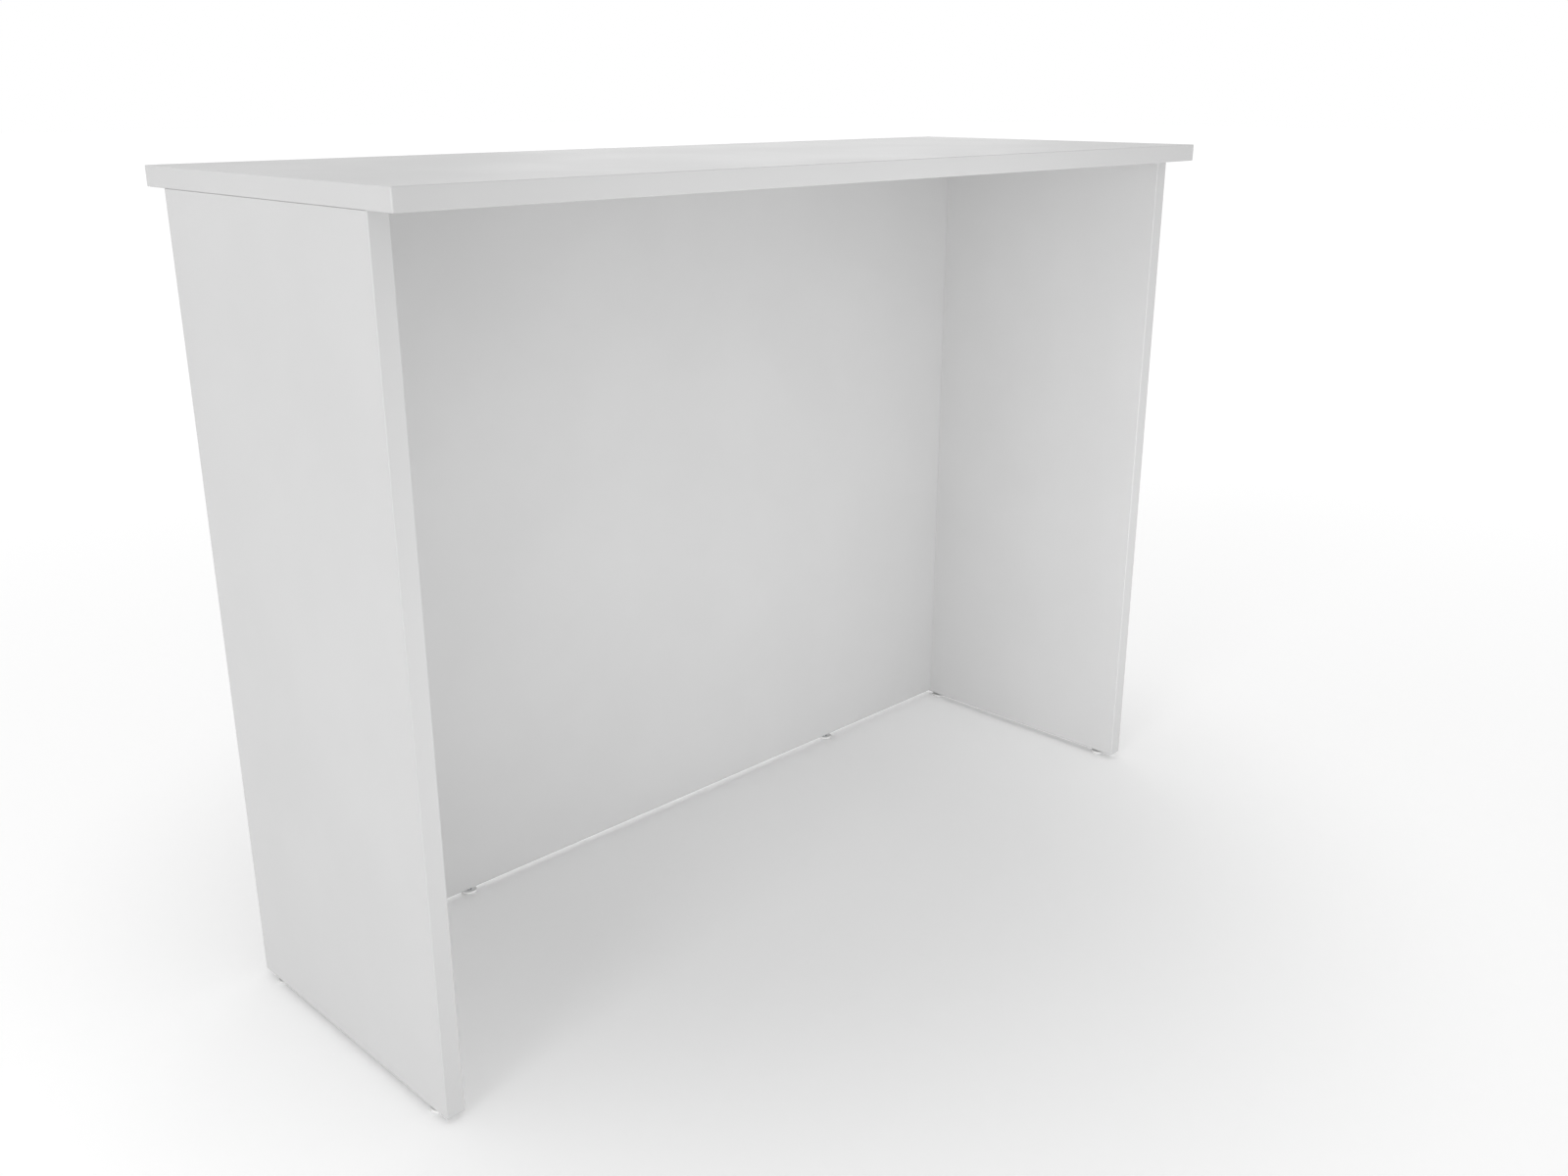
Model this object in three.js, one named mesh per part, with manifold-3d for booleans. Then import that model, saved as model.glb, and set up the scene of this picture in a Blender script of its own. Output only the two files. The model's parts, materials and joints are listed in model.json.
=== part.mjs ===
// A reception counter of melamine-faced board: a top on two side panels and a front panel,
// standing on six levelling feet. Staff stand on its open side.
//
// Lengths are in millimetres. X runs along the counter, -Y is the staff side, +Y is the visitor
// side, and Z goes up from the floor under the middle of the counter.

import * as THREE from "three";
import { mergeVertices } from "three/addons/utils/BufferGeometryUtils.js";
import Module from "manifold-3d";

const wasm = await Module();
wasm.setup();

// Boards
const counterWidth = 1450;
const topDepth = 550;
const topOverhang = 47.5; // past the side panels, on the staff side and on the visitor side
const sideHeight = 1055;
const boardThickness = 25;
const sideGap = 8; // from the floor to the side panels
const frontPanelRaise = 3; // the front panel hangs this much higher than the side panels

// Edge bands, glued round every edge that shows and eased on their outer corners
const edgeThickness = 2;
const edgeRounding = 1.5; // along the band's two long edges
const cornerRounding = 2; // where two banded edges meet
const roundingSteps = 3;

// Levelling feet: a screw whose flat head turns inside a round pad
const padRadius = 12.5;
const padBevel = 0.6;
const padSole = 1; // plastic under the screw's head
const padLip = 1.2; // plastic that traps the head
const headRadius = 7;
const headThickness = 1.2;
const headPlay = 0.3;
const neckRadius = 4;
const wrenchFlatWidth = 7;
const wrenchFlatMargin = 0.8; // full round left above and below the two flats
const footThreadRadius = 3;
const footThreadTip = 0.8;
const footTravel = 12; // how far a foot can be screwed out
const leastEngagement = 8; // thread still in the insert when the foot is right out
const sideFootInset = 36; // from the front or rear edge of a side panel
const frontFootSpread = 800; // between the two feet of the front panel

// Threaded inserts, pressed into the panels' lower edges
const insertFlangeRadius = 7.5;
const insertFlangeThickness = 1;
const insertBodyRadius = 4.6;
const insertBarbRadius = 5.2;
const insertBarbPitch = 3.5;
const insertBarbs = 3;
const insertLength = 14;

// Cam connectors: a bolt screwed up into the top, caught by a cam that turns in the panel below
const camDrillRadius = 7.5;
const camBeyondBolt = 4; // depth of the cam's bore past the bolt
const camDrop = 24; // from the top's underside to the middle of the cam
const camSlotStart = -10; // degrees, round from the panel's own direction
const camSlotSweep = 200;
const camCavityRadius = 5.4;
const camCrossLength = 7;
const camCrossWidth = 1.2;
const camCrossDepth = 2.5;
const boltHeadRadius = 3.5;
const boltHeadThickness = 2.4;
const boltHeadRest = 0.4; // from the cam's middle to the end of the bolt's head
const boltNeckRadius = 2.2;
const boltShankRadius = 3;
const boltShankLength = 12;
const boltCollarRadius = 3.7;
const boltCollarThickness = 1;
const boltThreadRadius = 2.9;
const boltThreadLength = 11;
const boltDrillRadius = 4; // the bolt's hole down the panel
const frontCamShares = [-0.36, 0, 0.36]; // of the front panel's length, from its middle
const sideCamInset = 77.5; // from the side panel's visitor edge

// Wood dowels
const dowelRadius = 4;
const dowelLength = 35;
const dowelChamfer = 1;
const dowelInFace = 12; // how much of a dowel sits in the board whose face it enters
const frontTopDowelShares = [-0.18, 0.18]; // of the front panel's length, from its middle
const sideTopDowelInset = 42; // from the side panel's staff edge
const jointDowelInset = 115; // from the front panel's lower and upper edges
const jointDowelCount = 4;

// Fits and how finely round things are drawn
const fitGap = 0.3; // round a piece in its hole
const endRoom = 0.5; // past the end of a dowel, bolt or screw in its hole
const overrun = 2; // how far a cutting shape runs past what it cuts
const padSteps = 28;
const screwSteps = 16;
const insertSteps = 12;
const camSteps = 20;
const boltSteps = 10;
const dowelSteps = 12;

// Places that the boards give
const topUnderside = sideGap + sideHeight;
const topSurface = topUnderside + boardThickness;
const halfWidth = counterWidth / 2;
const halfSide = topDepth / 2 - topOverhang;
const innerX = halfWidth - boardThickness;
const sideMiddleX = halfWidth - boardThickness / 2;
const frontPanelLength = 2 * innerX;
const frontPanelInnerY = halfSide - boardThickness;
const frontPanelMiddleY = halfSide - boardThickness / 2;
const frontPanelBottom = sideGap + frontPanelRaise;
const padHeight = padSole + headPlay + headThickness + headPlay + padLip;
const footThreadLength = footTravel + leastEngagement;
const camLength = boardThickness / 2 + camBeyondBolt - fitGap;

// Materials
const melamine = new THREE.MeshStandardMaterial({ color: 0xd7d7d7, roughness: 0.5 });
const edging = new THREE.MeshStandardMaterial({ color: 0xd6d6d6, roughness: 0.4 });
const padPlastic = new THREE.MeshStandardMaterial({ color: 0xd4d4d3, roughness: 0.45 });
const zincSteel = new THREE.MeshStandardMaterial({ color: 0xc4c6c8, roughness: 0.35, metalness: 1 });
const castZinc = new THREE.MeshStandardMaterial({ color: 0xa9abad, roughness: 0.5, metalness: 1 });
const beech = new THREE.MeshStandardMaterial({ color: 0xc9a878, roughness: 0.7 });

const counter = new THREE.Group();

// Solids and meshes

// The closed solid that a geometry bounds, its shared corners merged.
function solidOf(geometry) {
  const bare = geometry.index ? geometry.toNonIndexed() : geometry.clone();
  bare.deleteAttribute("normal");
  bare.deleteAttribute("uv");
  const merged = mergeVertices(bare);
  const corners = merged.index.array;
  const kept = [];
  for (let i = 0; i < corners.length; i += 3) {
    const [a, b, c] = corners.slice(i, i + 3);
    if (a !== b && b !== c && c !== a) kept.push(a, b, c);
  }
  const mesh = new wasm.Mesh({
    numProp: 3,
    vertProperties: merged.attributes.position.array,
    triVerts: new Uint32Array(kept),
  });
  return new wasm.Manifold(mesh);
}

// A named mesh of a solid, added to the counter.
function addPiece(name, solid, material) {
  const { vertProperties, triVerts } = solid.getMesh();
  const geometry = new THREE.BufferGeometry();
  geometry.setAttribute("position", new THREE.BufferAttribute(vertProperties, 3));
  geometry.setIndex(new THREE.BufferAttribute(triVerts, 1));
  geometry.computeVertexNormals();
  const mesh = new THREE.Mesh(geometry, material);
  mesh.name = name;
  counter.add(mesh);
  return mesh;
}

// A block between two opposite corners.
function block(low, high) {
  const size = high.map((value, axis) => value - low[axis]);
  const middle = high.map((value, axis) => (value + low[axis]) / 2);
  return solidOf(new THREE.BoxGeometry(...size).translate(...middle));
}

// A solid of revolution round Z, from [radius, height] points that start and end on the axis or
// close on themselves.
function turned(profile, steps) {
  const points = profile.map(([radius, height]) => new THREE.Vector2(radius, height));
  return solidOf(new THREE.LatheGeometry(points, steps).rotateX(Math.PI / 2));
}

// A round rod from a point, along a unit direction.
function rod(radius, start, direction, length, steps) {
  const along = new THREE.Vector3(...direction);
  const geometry = new THREE.CylinderGeometry(radius, radius, length, steps);
  geometry.applyQuaternion(
    new THREE.Quaternion().setFromUnitVectors(new THREE.Vector3(0, 1, 0), along),
  );
  const middle = along.multiplyScalar(length / 2).add(new THREE.Vector3(...start));
  return solidOf(geometry.translate(...middle));
}

// A rectangle with rounded corners, as the outline of a banded board.
function roundedOutline(left, bottom, right, top) {
  const r = cornerRounding;
  const outline = new THREE.Shape();
  outline.absarc(left + r, bottom + r, r, Math.PI, (3 * Math.PI) / 2);
  outline.absarc(right - r, bottom + r, r, -Math.PI / 2, 0);
  outline.absarc(right - r, top - r, r, 0, Math.PI / 2);
  outline.absarc(left + r, top - r, r, Math.PI / 2, Math.PI);
  return outline;
}

// A board with all its outer edges eased, drawn in its own plane and one thickness deep. The basis
// says which way the plane's two axes and the thickness run in the counter.
function easedBoard(left, bottom, right, top, basis, depthStart) {
  const geometry = new THREE.ExtrudeGeometry(roundedOutline(left, bottom, right, top), {
    depth: boardThickness - 2 * edgeRounding,
    bevelThickness: edgeRounding,
    bevelSize: edgeRounding,
    bevelOffset: -edgeRounding,
    bevelSegments: roundingSteps,
    curveSegments: roundingSteps,
  });
  geometry.translate(0, 0, depthStart + edgeRounding);
  const axes = basis.map((axis) => new THREE.Vector3(...axis));
  return solidOf(geometry.applyMatrix4(new THREE.Matrix4().makeBasis(...axes)));
}

// A solid without the shapes in a list.
function without(solid, cuts) {
  return cuts.reduce((left, cut) => left.subtract(cut), solid);
}

// Places of the feet, the cam connectors and the dowels

const sideFootY = halfSide - sideFootInset;
const feet = [
  { name: "left_staff", x: -sideMiddleX, y: -sideFootY, bottom: sideGap },
  { name: "left_visitor", x: -sideMiddleX, y: sideFootY, bottom: sideGap },
  { name: "right_staff", x: sideMiddleX, y: -sideFootY, bottom: sideGap },
  { name: "right_visitor", x: sideMiddleX, y: sideFootY, bottom: sideGap },
  { name: "front_left", x: -frontFootSpread / 2, y: frontPanelMiddleY, bottom: frontPanelBottom },
  { name: "front_right", x: frontFootSpread / 2, y: frontPanelMiddleY, bottom: frontPanelBottom },
];

// A cam's turn is the angle round Z from +Y to the way that its bore runs into the panel.
const sideCamY = halfSide - sideCamInset;
const frontCamNames = ["front_left", "front_middle", "front_right"];
const cams = [
  { name: "left", panel: "left", x: -innerX, y: sideCamY, turn: Math.PI / 2 },
  { name: "right", panel: "right", x: innerX, y: sideCamY, turn: -Math.PI / 2 },
  ...frontCamShares.map((share, i) => ({
    name: frontCamNames[i],
    panel: "front",
    x: share * frontPanelLength,
    y: frontPanelInnerY,
    turn: 0,
  })),
];
for (const cam of cams) {
  cam.inwards = [-Math.sin(cam.turn), Math.cos(cam.turn), 0];
  cam.boltX = cam.x + (cam.inwards[0] * boardThickness) / 2;
  cam.boltY = cam.y + (cam.inwards[1] * boardThickness) / 2;
}

// A dowel starts in the edge of one board and ends in the face of another.
const topDowels = [
  ...["left", "right"].flatMap((panel) => {
    const x = panel === "left" ? -sideMiddleX : sideMiddleX;
    return [
      { name: `${panel}_top_dowel_staff`, panel, at: [x, sideTopDowelInset - halfSide, topUnderside] },
      { name: `${panel}_top_dowel_middle`, panel, at: [x, 0, topUnderside] },
    ];
  }),
  ...frontTopDowelShares.map((share, i) => ({
    name: `front_top_dowel_${["left", "right"][i]}`,
    panel: "front",
    at: [share * frontPanelLength, frontPanelMiddleY, topUnderside],
  })),
].map((dowel) => ({ ...dowel, direction: [0, 0, 1] }));

const jointDowelRise = (topUnderside - frontPanelBottom - 2 * jointDowelInset) / (jointDowelCount - 1);
const jointDowels = [-1, 1].flatMap((side) =>
  Array.from({ length: jointDowelCount }, (unused, i) => ({
    name: `${side < 0 ? "left" : "right"}_joint_dowel_${i + 1}`,
    panel: side < 0 ? "left" : "right",
    at: [side * innerX, frontPanelMiddleY, frontPanelBottom + jointDowelInset + i * jointDowelRise],
    direction: [side, 0, 0],
  })),
);

// Holes

// A dowel's two holes, as one rod through both boards.
function dowelHole({ at, direction }) {
  const behind = dowelLength - dowelInFace + endRoom;
  const start = at.map((value, axis) => value - direction[axis] * behind);
  const length = dowelLength + 2 * endRoom;
  return rod(dowelRadius + fitGap, start, direction, length, dowelSteps);
}

// The bore that takes a cam, and the hole down the panel to it that takes the bolt.
function camHoles(cam) {
  const start = [
    cam.x - cam.inwards[0] * overrun,
    cam.y - cam.inwards[1] * overrun,
    topUnderside - camDrop,
  ];
  const depth = overrun + boardThickness / 2 + camBeyondBolt;
  const below = [cam.boltX, cam.boltY, topUnderside - camDrop];
  return [
    rod(camDrillRadius, start, cam.inwards, depth, camSteps),
    rod(boltDrillRadius, below, [0, 0, 1], camDrop + overrun, boltSteps),
  ];
}

// The hole in the top that a bolt is screwed into.
function boltHole(cam) {
  const start = [cam.boltX, cam.boltY, topUnderside - overrun];
  const length = overrun + boltThreadLength + endRoom;
  return rod(boltThreadRadius + fitGap, start, [0, 0, 1], length, boltSteps);
}

// What a foot's insert and screw need: a shallow seat for the flange, a hole for the insert's body,
// and a narrower one above it that takes the screw's end when the foot is right in.
function footHoles({ x, y, bottom }) {
  const seatDepth = insertFlangeThickness + overrun;
  const bodyDepth = insertFlangeThickness + insertLength + overrun;
  const screwDepth = footThreadLength + endRoom;
  return [
    rod(insertFlangeRadius + fitGap, [x, y, bottom - overrun], [0, 0, 1], seatDepth, insertSteps),
    rod(insertBarbRadius + fitGap, [x, y, bottom - overrun], [0, 0, 1], bodyDepth, insertSteps),
    rod(footThreadRadius + fitGap, [x, y, bottom], [0, 0, 1], screwDepth, insertSteps),
  ];
}

// Boards and their bands

// The top, with a band on each of its four edges. The long bands cover the ends of the short ones.
function buildTop() {
  const halfDepth = topDepth / 2;
  const bandX = halfWidth - edgeThickness;
  const bandY = halfDepth - edgeThickness;
  const slab = easedBoard(
    -halfWidth,
    -halfDepth,
    halfWidth,
    halfDepth,
    [
      [1, 0, 0],
      [0, 1, 0],
      [0, 0, 1],
    ],
    topUnderside,
  );
  const holes = [...topDowels.map(dowelHole), ...cams.map(boltHole)];
  const core = block([-bandX, -bandY, topUnderside], [bandX, bandY, topSurface]);
  const band = (low, high) =>
    slab.intersect(block([...low, topUnderside - overrun], [...high, topSurface + overrun]));
  const outX = halfWidth + overrun;
  const outY = halfDepth + overrun;
  addPiece("top_board", without(core, holes), melamine);
  addPiece("top_edge_staff", band([-outX, -outY], [outX, -bandY]), edging);
  addPiece("top_edge_visitor", band([-outX, bandY], [outX, outY]), edging);
  addPiece("top_edge_left", band([-outX, -bandY], [-bandX, bandY]), edging);
  addPiece("top_edge_right", band([bandX, -bandY], [outX, bandY]), edging);
}

// A side panel, with bands on its staff, visitor and lower edges. Its upper edge is raw, under the
// top, so the eased shape runs on past it.
function buildSide(panel) {
  const left = panel === "left";
  const lowX = left ? -halfWidth : innerX;
  const highX = left ? -innerX : halfWidth;
  const bandY = halfSide - edgeThickness;
  const bandZ = sideGap + edgeThickness;
  const slab = easedBoard(
    -halfSide,
    sideGap,
    halfSide,
    topUnderside + overrun + cornerRounding,
    [
      [0, 1, 0],
      [0, 0, 1],
      [1, 0, 0],
    ],
    lowX,
  );
  const holes = [
    ...topDowels.filter((dowel) => dowel.panel === panel).map(dowelHole),
    ...jointDowels.filter((dowel) => dowel.panel === panel).map(dowelHole),
    ...cams.filter((cam) => cam.panel === panel).flatMap(camHoles),
    ...feet.filter((foot) => foot.name.startsWith(panel)).flatMap(footHoles),
  ];
  const band = (lowY, lowZ, highY, highZ) =>
    slab.intersect(block([lowX - overrun, lowY, lowZ], [highX + overrun, highY, highZ]));
  const core = block([lowX, -bandY, bandZ], [highX, bandY, topUnderside]);
  const under = sideGap - overrun;
  const out = halfSide + overrun;
  addPiece(`${panel}_side_board`, without(core, holes), melamine);
  addPiece(`${panel}_side_edge_staff`, band(-out, under, -bandY, topUnderside), edging);
  addPiece(`${panel}_side_edge_visitor`, band(bandY, under, out, topUnderside), edging);
  addPiece(`${panel}_side_edge_bottom`, without(band(-bandY, under, bandY, bandZ), holes), edging);
}

// The front panel, between the side panels and flush with their visitor edges. Only its lower edge
// is banded.
function buildFrontPanel() {
  const bandZ = frontPanelBottom + edgeThickness;
  const slab = easedBoard(
    -innerX - cornerRounding - overrun,
    frontPanelBottom,
    innerX + cornerRounding + overrun,
    topUnderside + cornerRounding + overrun,
    [
      [1, 0, 0],
      [0, 0, 1],
      [0, -1, 0],
    ],
    -halfSide,
  );
  const holes = [
    ...topDowels.filter((dowel) => dowel.panel === "front").map(dowelHole),
    ...jointDowels.map(dowelHole),
    ...cams.filter((cam) => cam.panel === "front").flatMap(camHoles),
    ...feet.filter((foot) => foot.name.startsWith("front")).flatMap(footHoles),
  ];
  const core = block([-innerX, frontPanelInnerY, bandZ], [innerX, halfSide, topUnderside]);
  const band = slab.intersect(
    block(
      [-innerX, frontPanelInnerY - overrun, frontPanelBottom - overrun],
      [innerX, halfSide + overrun, bandZ],
    ),
  );
  addPiece("front_panel_board", without(core, holes), melamine);
  addPiece("front_panel_edge_bottom", without(band, holes), edging);
}

// Feet

// The round pad: a sole, a hollow that the screw's head turns in, and a lip over the head.
function padSolid() {
  const hollowRadius = headRadius + headPlay;
  const hollowTop = padSole + headPlay + headThickness + headPlay;
  return turned(
    [
      [0, 0],
      [padRadius - padBevel, 0],
      [padRadius, padBevel],
      [padRadius, padHeight - 2 * padBevel],
      [padRadius - 2 * padBevel, padHeight],
      [neckRadius + headPlay, padHeight],
      [neckRadius + headPlay, hollowTop],
      [hollowRadius, hollowTop],
      [hollowRadius, padSole],
      [0, padSole],
    ],
    padSteps,
  );
}

// The screw: head, plain neck with two wrench flats, and the threaded length. The neck's shoulder
// meets the insert when the foot is right in.
function footScrewSolid() {
  const headBottom = padSole + headPlay;
  const headTop = headBottom + headThickness;
  const tip = sideGap + footThreadLength;
  const body = turned(
    [
      [0, headBottom],
      [headRadius, headBottom],
      [headRadius, headTop],
      [neckRadius, headTop],
      [neckRadius, sideGap],
      [footThreadRadius, sideGap],
      [footThreadRadius, tip - footThreadTip],
      [footThreadRadius - footThreadTip, tip],
      [0, tip],
    ],
    screwSteps,
  );
  const low = padHeight + wrenchFlatMargin;
  const high = sideGap - wrenchFlatMargin;
  const far = neckRadius + overrun;
  const flats = [-1, 1].map((side) => {
    const from = Math.min((side * wrenchFlatWidth) / 2, side * far);
    const to = Math.max((side * wrenchFlatWidth) / 2, side * far);
    return block([from, -far, low], [to, far, high]);
  });
  return without(body, flats);
}

// The insert, drawn up from its flange: a bore for the screw, and barbs that grip the board.
function insertSolid() {
  const bore = footThreadRadius + fitGap;
  const end = insertFlangeThickness + insertLength;
  const profile = [
    [bore, 0],
    [insertFlangeRadius, 0],
    [insertFlangeRadius, insertFlangeThickness],
    [insertBodyRadius, insertFlangeThickness],
  ];
  for (let i = insertBarbs; i > 0; i -= 1) {
    const barb = end - i * insertBarbPitch;
    profile.push([insertBodyRadius, barb], [insertBarbRadius, barb]);
  }
  profile.push([insertBodyRadius, end], [bore, end], [bore, 0]);
  return turned(profile, insertSteps);
}

function buildFeet() {
  const pad = padSolid();
  const screw = footScrewSolid();
  const insert = insertSolid();
  for (const { name, x, y, bottom } of feet) {
    addPiece(`${name}_foot_pad`, pad, padPlastic).position.set(x, y, 0);
    addPiece(`${name}_foot_screw`, screw, zincSteel).position.set(x, y, 0);
    addPiece(`${name}_foot_insert`, insert, zincSteel).position.set(x, y, bottom);
  }
}

// Cam connectors

// A wedge of a disc round the cam's own axis, for the hollow that the bolt's head and neck run in.
function camWedge(radius, width) {
  const start = THREE.MathUtils.degToRad(camSlotStart);
  const sweep = THREE.MathUtils.degToRad(camSlotSweep);
  const outline = new THREE.Shape();
  outline.moveTo(0, 0);
  outline.absarc(0, 0, radius, start, start + sweep);
  const geometry = new THREE.ExtrudeGeometry(outline, {
    depth: width,
    bevelEnabled: false,
    curveSegments: camSteps / 2,
  });
  geometry.rotateX(Math.PI / 2);
  return solidOf(geometry.translate(0, (boardThickness + width) / 2, 0));
}

// The cam, drawn with its face at the origin and its length along +Y.
function camSolid() {
  const radius = camDrillRadius - fitGap;
  const cavity = camWedge(camCavityRadius, 2 * (boltHeadRadius + fitGap));
  const slot = camWedge(radius + overrun, 2 * (boltNeckRadius + fitGap));
  const longHalf = camCrossLength / 2;
  const shortHalf = camCrossWidth / 2;
  const cross = [
    block([-longHalf, -overrun, -shortHalf], [longHalf, camCrossDepth, shortHalf]),
    block([-shortHalf, -overrun, -longHalf], [shortHalf, camCrossDepth, longHalf]),
  ];
  return without(rod(radius, [0, 0, 0], [0, 1, 0], camLength, camSteps), [cavity, slot, ...cross]);
}

// The bolt, drawn with its collar against the underside of the top at height zero.
function camBoltSolid() {
  const headEnd = boltHeadRest - camDrop;
  const headTop = headEnd + boltHeadThickness;
  return turned(
    [
      [0, headEnd],
      [boltHeadRadius, headEnd],
      [boltHeadRadius, headTop],
      [boltNeckRadius, headTop],
      [boltNeckRadius, -boltShankLength],
      [boltShankRadius, -boltShankLength],
      [boltShankRadius, -boltCollarThickness],
      [boltCollarRadius, -boltCollarThickness],
      [boltCollarRadius, 0],
      [boltThreadRadius, 0],
      [boltThreadRadius, boltThreadLength],
      [0, boltThreadLength],
    ],
    boltSteps,
  );
}

function buildCamConnectors() {
  const camBody = camSolid();
  const bolt = camBoltSolid();
  for (const { name, x, y, turn, boltX, boltY } of cams) {
    const mesh = addPiece(`${name}_cam`, camBody, castZinc);
    mesh.rotation.z = turn;
    mesh.position.set(x, y, topUnderside - camDrop);
    addPiece(`${name}_cam_bolt`, bolt, zincSteel).position.set(boltX, boltY, topUnderside);
  }
}

// Dowels

// A dowel drawn along Z, with its chamfered ends.
function dowelSolid() {
  return turned(
    [
      [0, 0],
      [dowelRadius - dowelChamfer, 0],
      [dowelRadius, dowelChamfer],
      [dowelRadius, dowelLength - dowelChamfer],
      [dowelRadius - dowelChamfer, dowelLength],
      [0, dowelLength],
    ],
    dowelSteps,
  );
}

function buildDowels() {
  const dowel = dowelSolid();
  const up = new THREE.Vector3(0, 0, 1);
  for (const { name, at, direction } of [...topDowels, ...jointDowels]) {
    const along = new THREE.Vector3(...direction);
    const mesh = addPiece(name, dowel, beech);
    mesh.quaternion.setFromUnitVectors(up, along);
    mesh.position.set(...at).addScaledVector(along, dowelInFace - dowelLength);
  }
}

buildTop();
buildSide("left");
buildSide("right");
buildFrontPanel();
buildFeet();
buildCamConnectors();
buildDowels();

export default counter;
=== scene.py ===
# %% [markdown]
# A reception counter, finished from its construction model
#
# The construction model says where every board, foot and fastener is, and this lesson gives each of
# them the surface that the real one has. Nothing is moved or resized: each new piece is made where
# the model has it, from the model's own corners. So the first step is to load the model.

# %% Load the construction model
import json
import math

import bpy
from mathutils import Euler, Matrix, Vector

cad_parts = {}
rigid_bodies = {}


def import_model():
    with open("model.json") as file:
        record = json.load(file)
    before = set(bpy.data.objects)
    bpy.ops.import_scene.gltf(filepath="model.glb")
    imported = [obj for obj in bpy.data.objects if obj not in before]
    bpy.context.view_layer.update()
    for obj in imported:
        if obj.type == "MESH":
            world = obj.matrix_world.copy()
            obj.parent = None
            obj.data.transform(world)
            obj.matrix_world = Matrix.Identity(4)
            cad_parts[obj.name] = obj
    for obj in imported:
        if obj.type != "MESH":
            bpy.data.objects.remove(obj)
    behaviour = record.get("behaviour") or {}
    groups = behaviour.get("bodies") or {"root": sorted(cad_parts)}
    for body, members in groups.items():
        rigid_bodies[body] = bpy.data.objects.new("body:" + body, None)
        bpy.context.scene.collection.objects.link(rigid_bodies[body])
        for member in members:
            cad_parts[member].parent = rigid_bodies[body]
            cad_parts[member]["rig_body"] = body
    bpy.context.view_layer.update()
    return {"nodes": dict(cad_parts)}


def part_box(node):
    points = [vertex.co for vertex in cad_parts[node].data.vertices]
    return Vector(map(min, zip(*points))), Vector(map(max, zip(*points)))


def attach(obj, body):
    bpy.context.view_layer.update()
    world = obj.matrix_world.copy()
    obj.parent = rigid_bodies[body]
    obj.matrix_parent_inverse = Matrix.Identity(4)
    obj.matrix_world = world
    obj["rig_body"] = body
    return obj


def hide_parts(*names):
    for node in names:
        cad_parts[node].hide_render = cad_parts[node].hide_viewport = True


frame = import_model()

# %% [markdown]
# Sizes
#
# Blender works in metres here, but a joiner thinks in millimetres. One named value turns one into
# the other, so that every size below can be read as it would be on a drawing. These are the sizes
# of the standard parts that a counter like this is built with.

# %% Sizes
MM = 0.001
board_thickness = 25 * MM
band_rounding = 1.5 * MM
corner_rounding = 2 * MM
fit = 0.3 * MM  # room round a piece in its bore
end_room = 0.5 * MM  # room past the end of a piece in its bore
past = 2 * MM  # how far a cutting shape runs past what it cuts
round_steps = 48  # sides of a round piece or bore
arc_steps = 6  # facets of a small rounding


def size_of(node):
    """The middle of a node of the model, and its three sizes."""
    low, high = (Vector(corner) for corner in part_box(node))
    return (low + high) / 2, high - low


top_sides = [round(side / MM, 1) for side in size_of("top_board")[1]]
print("the top is", top_sides, "mm without its bands")

# %% [markdown]
# Sums on sockets
#
# A node tree is easier to read when its sums look like sums. A Link holds one output of a node, and
# its operators add the Math node that works the sum out, also when the plain number comes first. A
# Sketch holds one tree, for a material or for geometry, and its one method adds any other node: its
# type, then its settings, then the values or links of its sockets.


# %% Links and sketches
def pick(sockets, key):
    """A socket in use, by its name or by its place."""
    in_use = [socket for socket in sockets if socket.enabled]
    return in_use[key] if isinstance(key, int) else next(s for s in in_use if s.name == key)


class Link:
    """One output of a node, which sums can be written with."""

    def __init__(self, sketch, socket):
        self.sketch = sketch
        self.socket = socket

    def output(self, key):
        return Link(self.sketch, pick(self.socket.node.outputs, key))

    def math(self, operation, *others):
        values = dict(enumerate((self, *others)))
        return self.sketch.add("ShaderNodeMath", {"operation": operation}, values)

    def vector(self, operation, *others):
        values = dict(enumerate((self, *others)))
        return self.sketch.add("ShaderNodeVectorMath", {"operation": operation}, values)

    def parts(self):
        """The three numbers of a vector."""
        split = self.sketch.add("ShaderNodeSeparateXYZ", values={"Vector": self})
        return [split.output(axis) for axis in "XYZ"]

    def ramp(self, start, end, low=0.0, high=1.0, smooth=True):
        """A number that goes from low to high while this one goes from start to end."""
        kind = "SMOOTHSTEP" if smooth else "LINEAR"
        values = {"Value": self, "From Min": start, "From Max": end, "To Min": low, "To Max": high}
        return self.sketch.add("ShaderNodeMapRange", {"interpolation_type": kind}, values)

    def __add__(self, other):
        return self.math("ADD", other)

    def __sub__(self, other):
        return self.math("SUBTRACT", other)

    def __rsub__(self, other):
        return self.sketch.add("ShaderNodeMath", {"operation": "SUBTRACT"}, {0: other, 1: self})

    def __mul__(self, other):
        return self.math("MULTIPLY", other)

    def __truediv__(self, other):
        return self.math("DIVIDE", other)

    def __rtruediv__(self, other):
        return self.sketch.add("ShaderNodeMath", {"operation": "DIVIDE"}, {0: other, 1: self})

    def __gt__(self, other):
        return self.math("GREATER_THAN", other)

    def __lt__(self, other):
        return self.math("LESS_THAN", other)

    __radd__ = __add__
    __rmul__ = __mul__


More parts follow.
